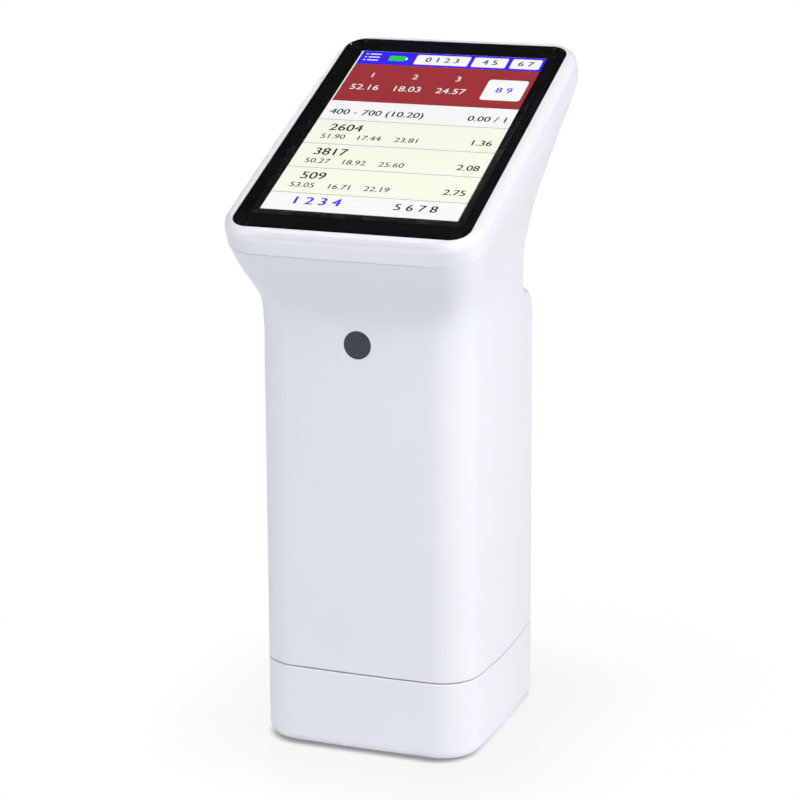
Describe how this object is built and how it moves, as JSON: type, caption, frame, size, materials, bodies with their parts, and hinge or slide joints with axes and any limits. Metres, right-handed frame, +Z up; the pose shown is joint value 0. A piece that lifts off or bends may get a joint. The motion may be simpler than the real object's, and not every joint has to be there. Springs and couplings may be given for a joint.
{
  "type": "portable colorimeter",
  "caption": "Handheld colour measuring instrument: a tall white column with a tilted touch screen, a downward measuring head and a pull-off base cap that holds a white reference tile.",
  "frame": {"origin": "centre of the flat face that the instrument stands on", "axes": "+Z up, +Y to the back, +X to the right of someone who faces the screen"},
  "size_m": [0.0644, 0.0877, 0.1639],
  "materials": {
    "white_plastic": "satin",
    "key_plastic": "satin",
    "cover_glass": "polished",
    "clear_glass": "polished",
    "filter_glass": "polished",
    "black_border": "printed",
    "black_foam": "foam",
    "display": "lit panel",
    "clear_acrylic": "clear",
    "sheet_steel": "tinned",
    "screw_steel": "zinc plated",
    "board_laminate": "solder resist",
    "ribbon_film": "film",
    "black_plastic": "moulded",
    "grey_plastic": "moulded",
    "battery_foil": "foil pouch",
    "woven_tape": "woven",
    "band_rubber": "moulded",
    "black_aluminium": "anodised",
    "lamp_resin": "clear dome",
    "tile_ceramic": "polished"
  },
  "bodies": {
    "instrument": {"aperture_nose": "black_aluminium", "backlight_tray": "sheet_steel", "base_plate": "black_plastic", "base_screws": "screw_steel", "battery": "battery_foil", "battery_strap": "woven_tape", "board_chips": "black_plastic", "board_screws": "screw_steel", "border_mask": "black_border", "buzzer": "black_plastic", "charge_board": "board_laminate", "charge_socket": "sheet_steel", "chassis": "grey_plastic", "colour_filter": "filter_glass", "colour_sensor": "black_plastic", "column_shell": "white_plastic", "cover_glass": "cover_glass", "display_gasket": "black_foam", "display_panel": "display", "display_ribbon": "ribbon_film", "dust_window": "clear_glass", "frame_screws": "screw_steel", "grip_band": "band_rubber", "head_frame": "white_plastic", "housing_screws": "screw_steel", "key_board": "board_laminate", "key_screws": "screw_steel", "lamp_board": "board_laminate", "lamps": "lamp_resin", "lens": "clear_glass", "lens_ring": "black_aluminium", "light_guide": "clear_acrylic", "main_board": "board_laminate", "optics_housing": "black_aluminium", "radio_shield": "sheet_steel", "sensor_board": "board_laminate", "sensor_screws": "screw_steel", "signal_ribbon": "ribbon_film", "tact_switch": "black_plastic", "viewing_tube": "black_aluminium"},
    "cap": {"cap_shell": "white_plastic", "tile_cushion": "black_foam", "white_tile": "tile_ceramic", "tile_holder": "black_plastic"},
    "key": {"measure_key": "key_plastic", "switch_plunger": "grey_plastic"}
  },
  "joints": [
    {"name": "cap_slide", "type": "slide", "parent": "instrument", "child": "cap", "axis": [0, 0, -1], "range_m": [0, 0.02]},
    {"name": "key_press", "type": "slide", "parent": "instrument", "child": "key", "axis": [0, -1, 0], "range_m": [0, 0.0005], "stiffness_N_per_m": 3000}
  ]
}
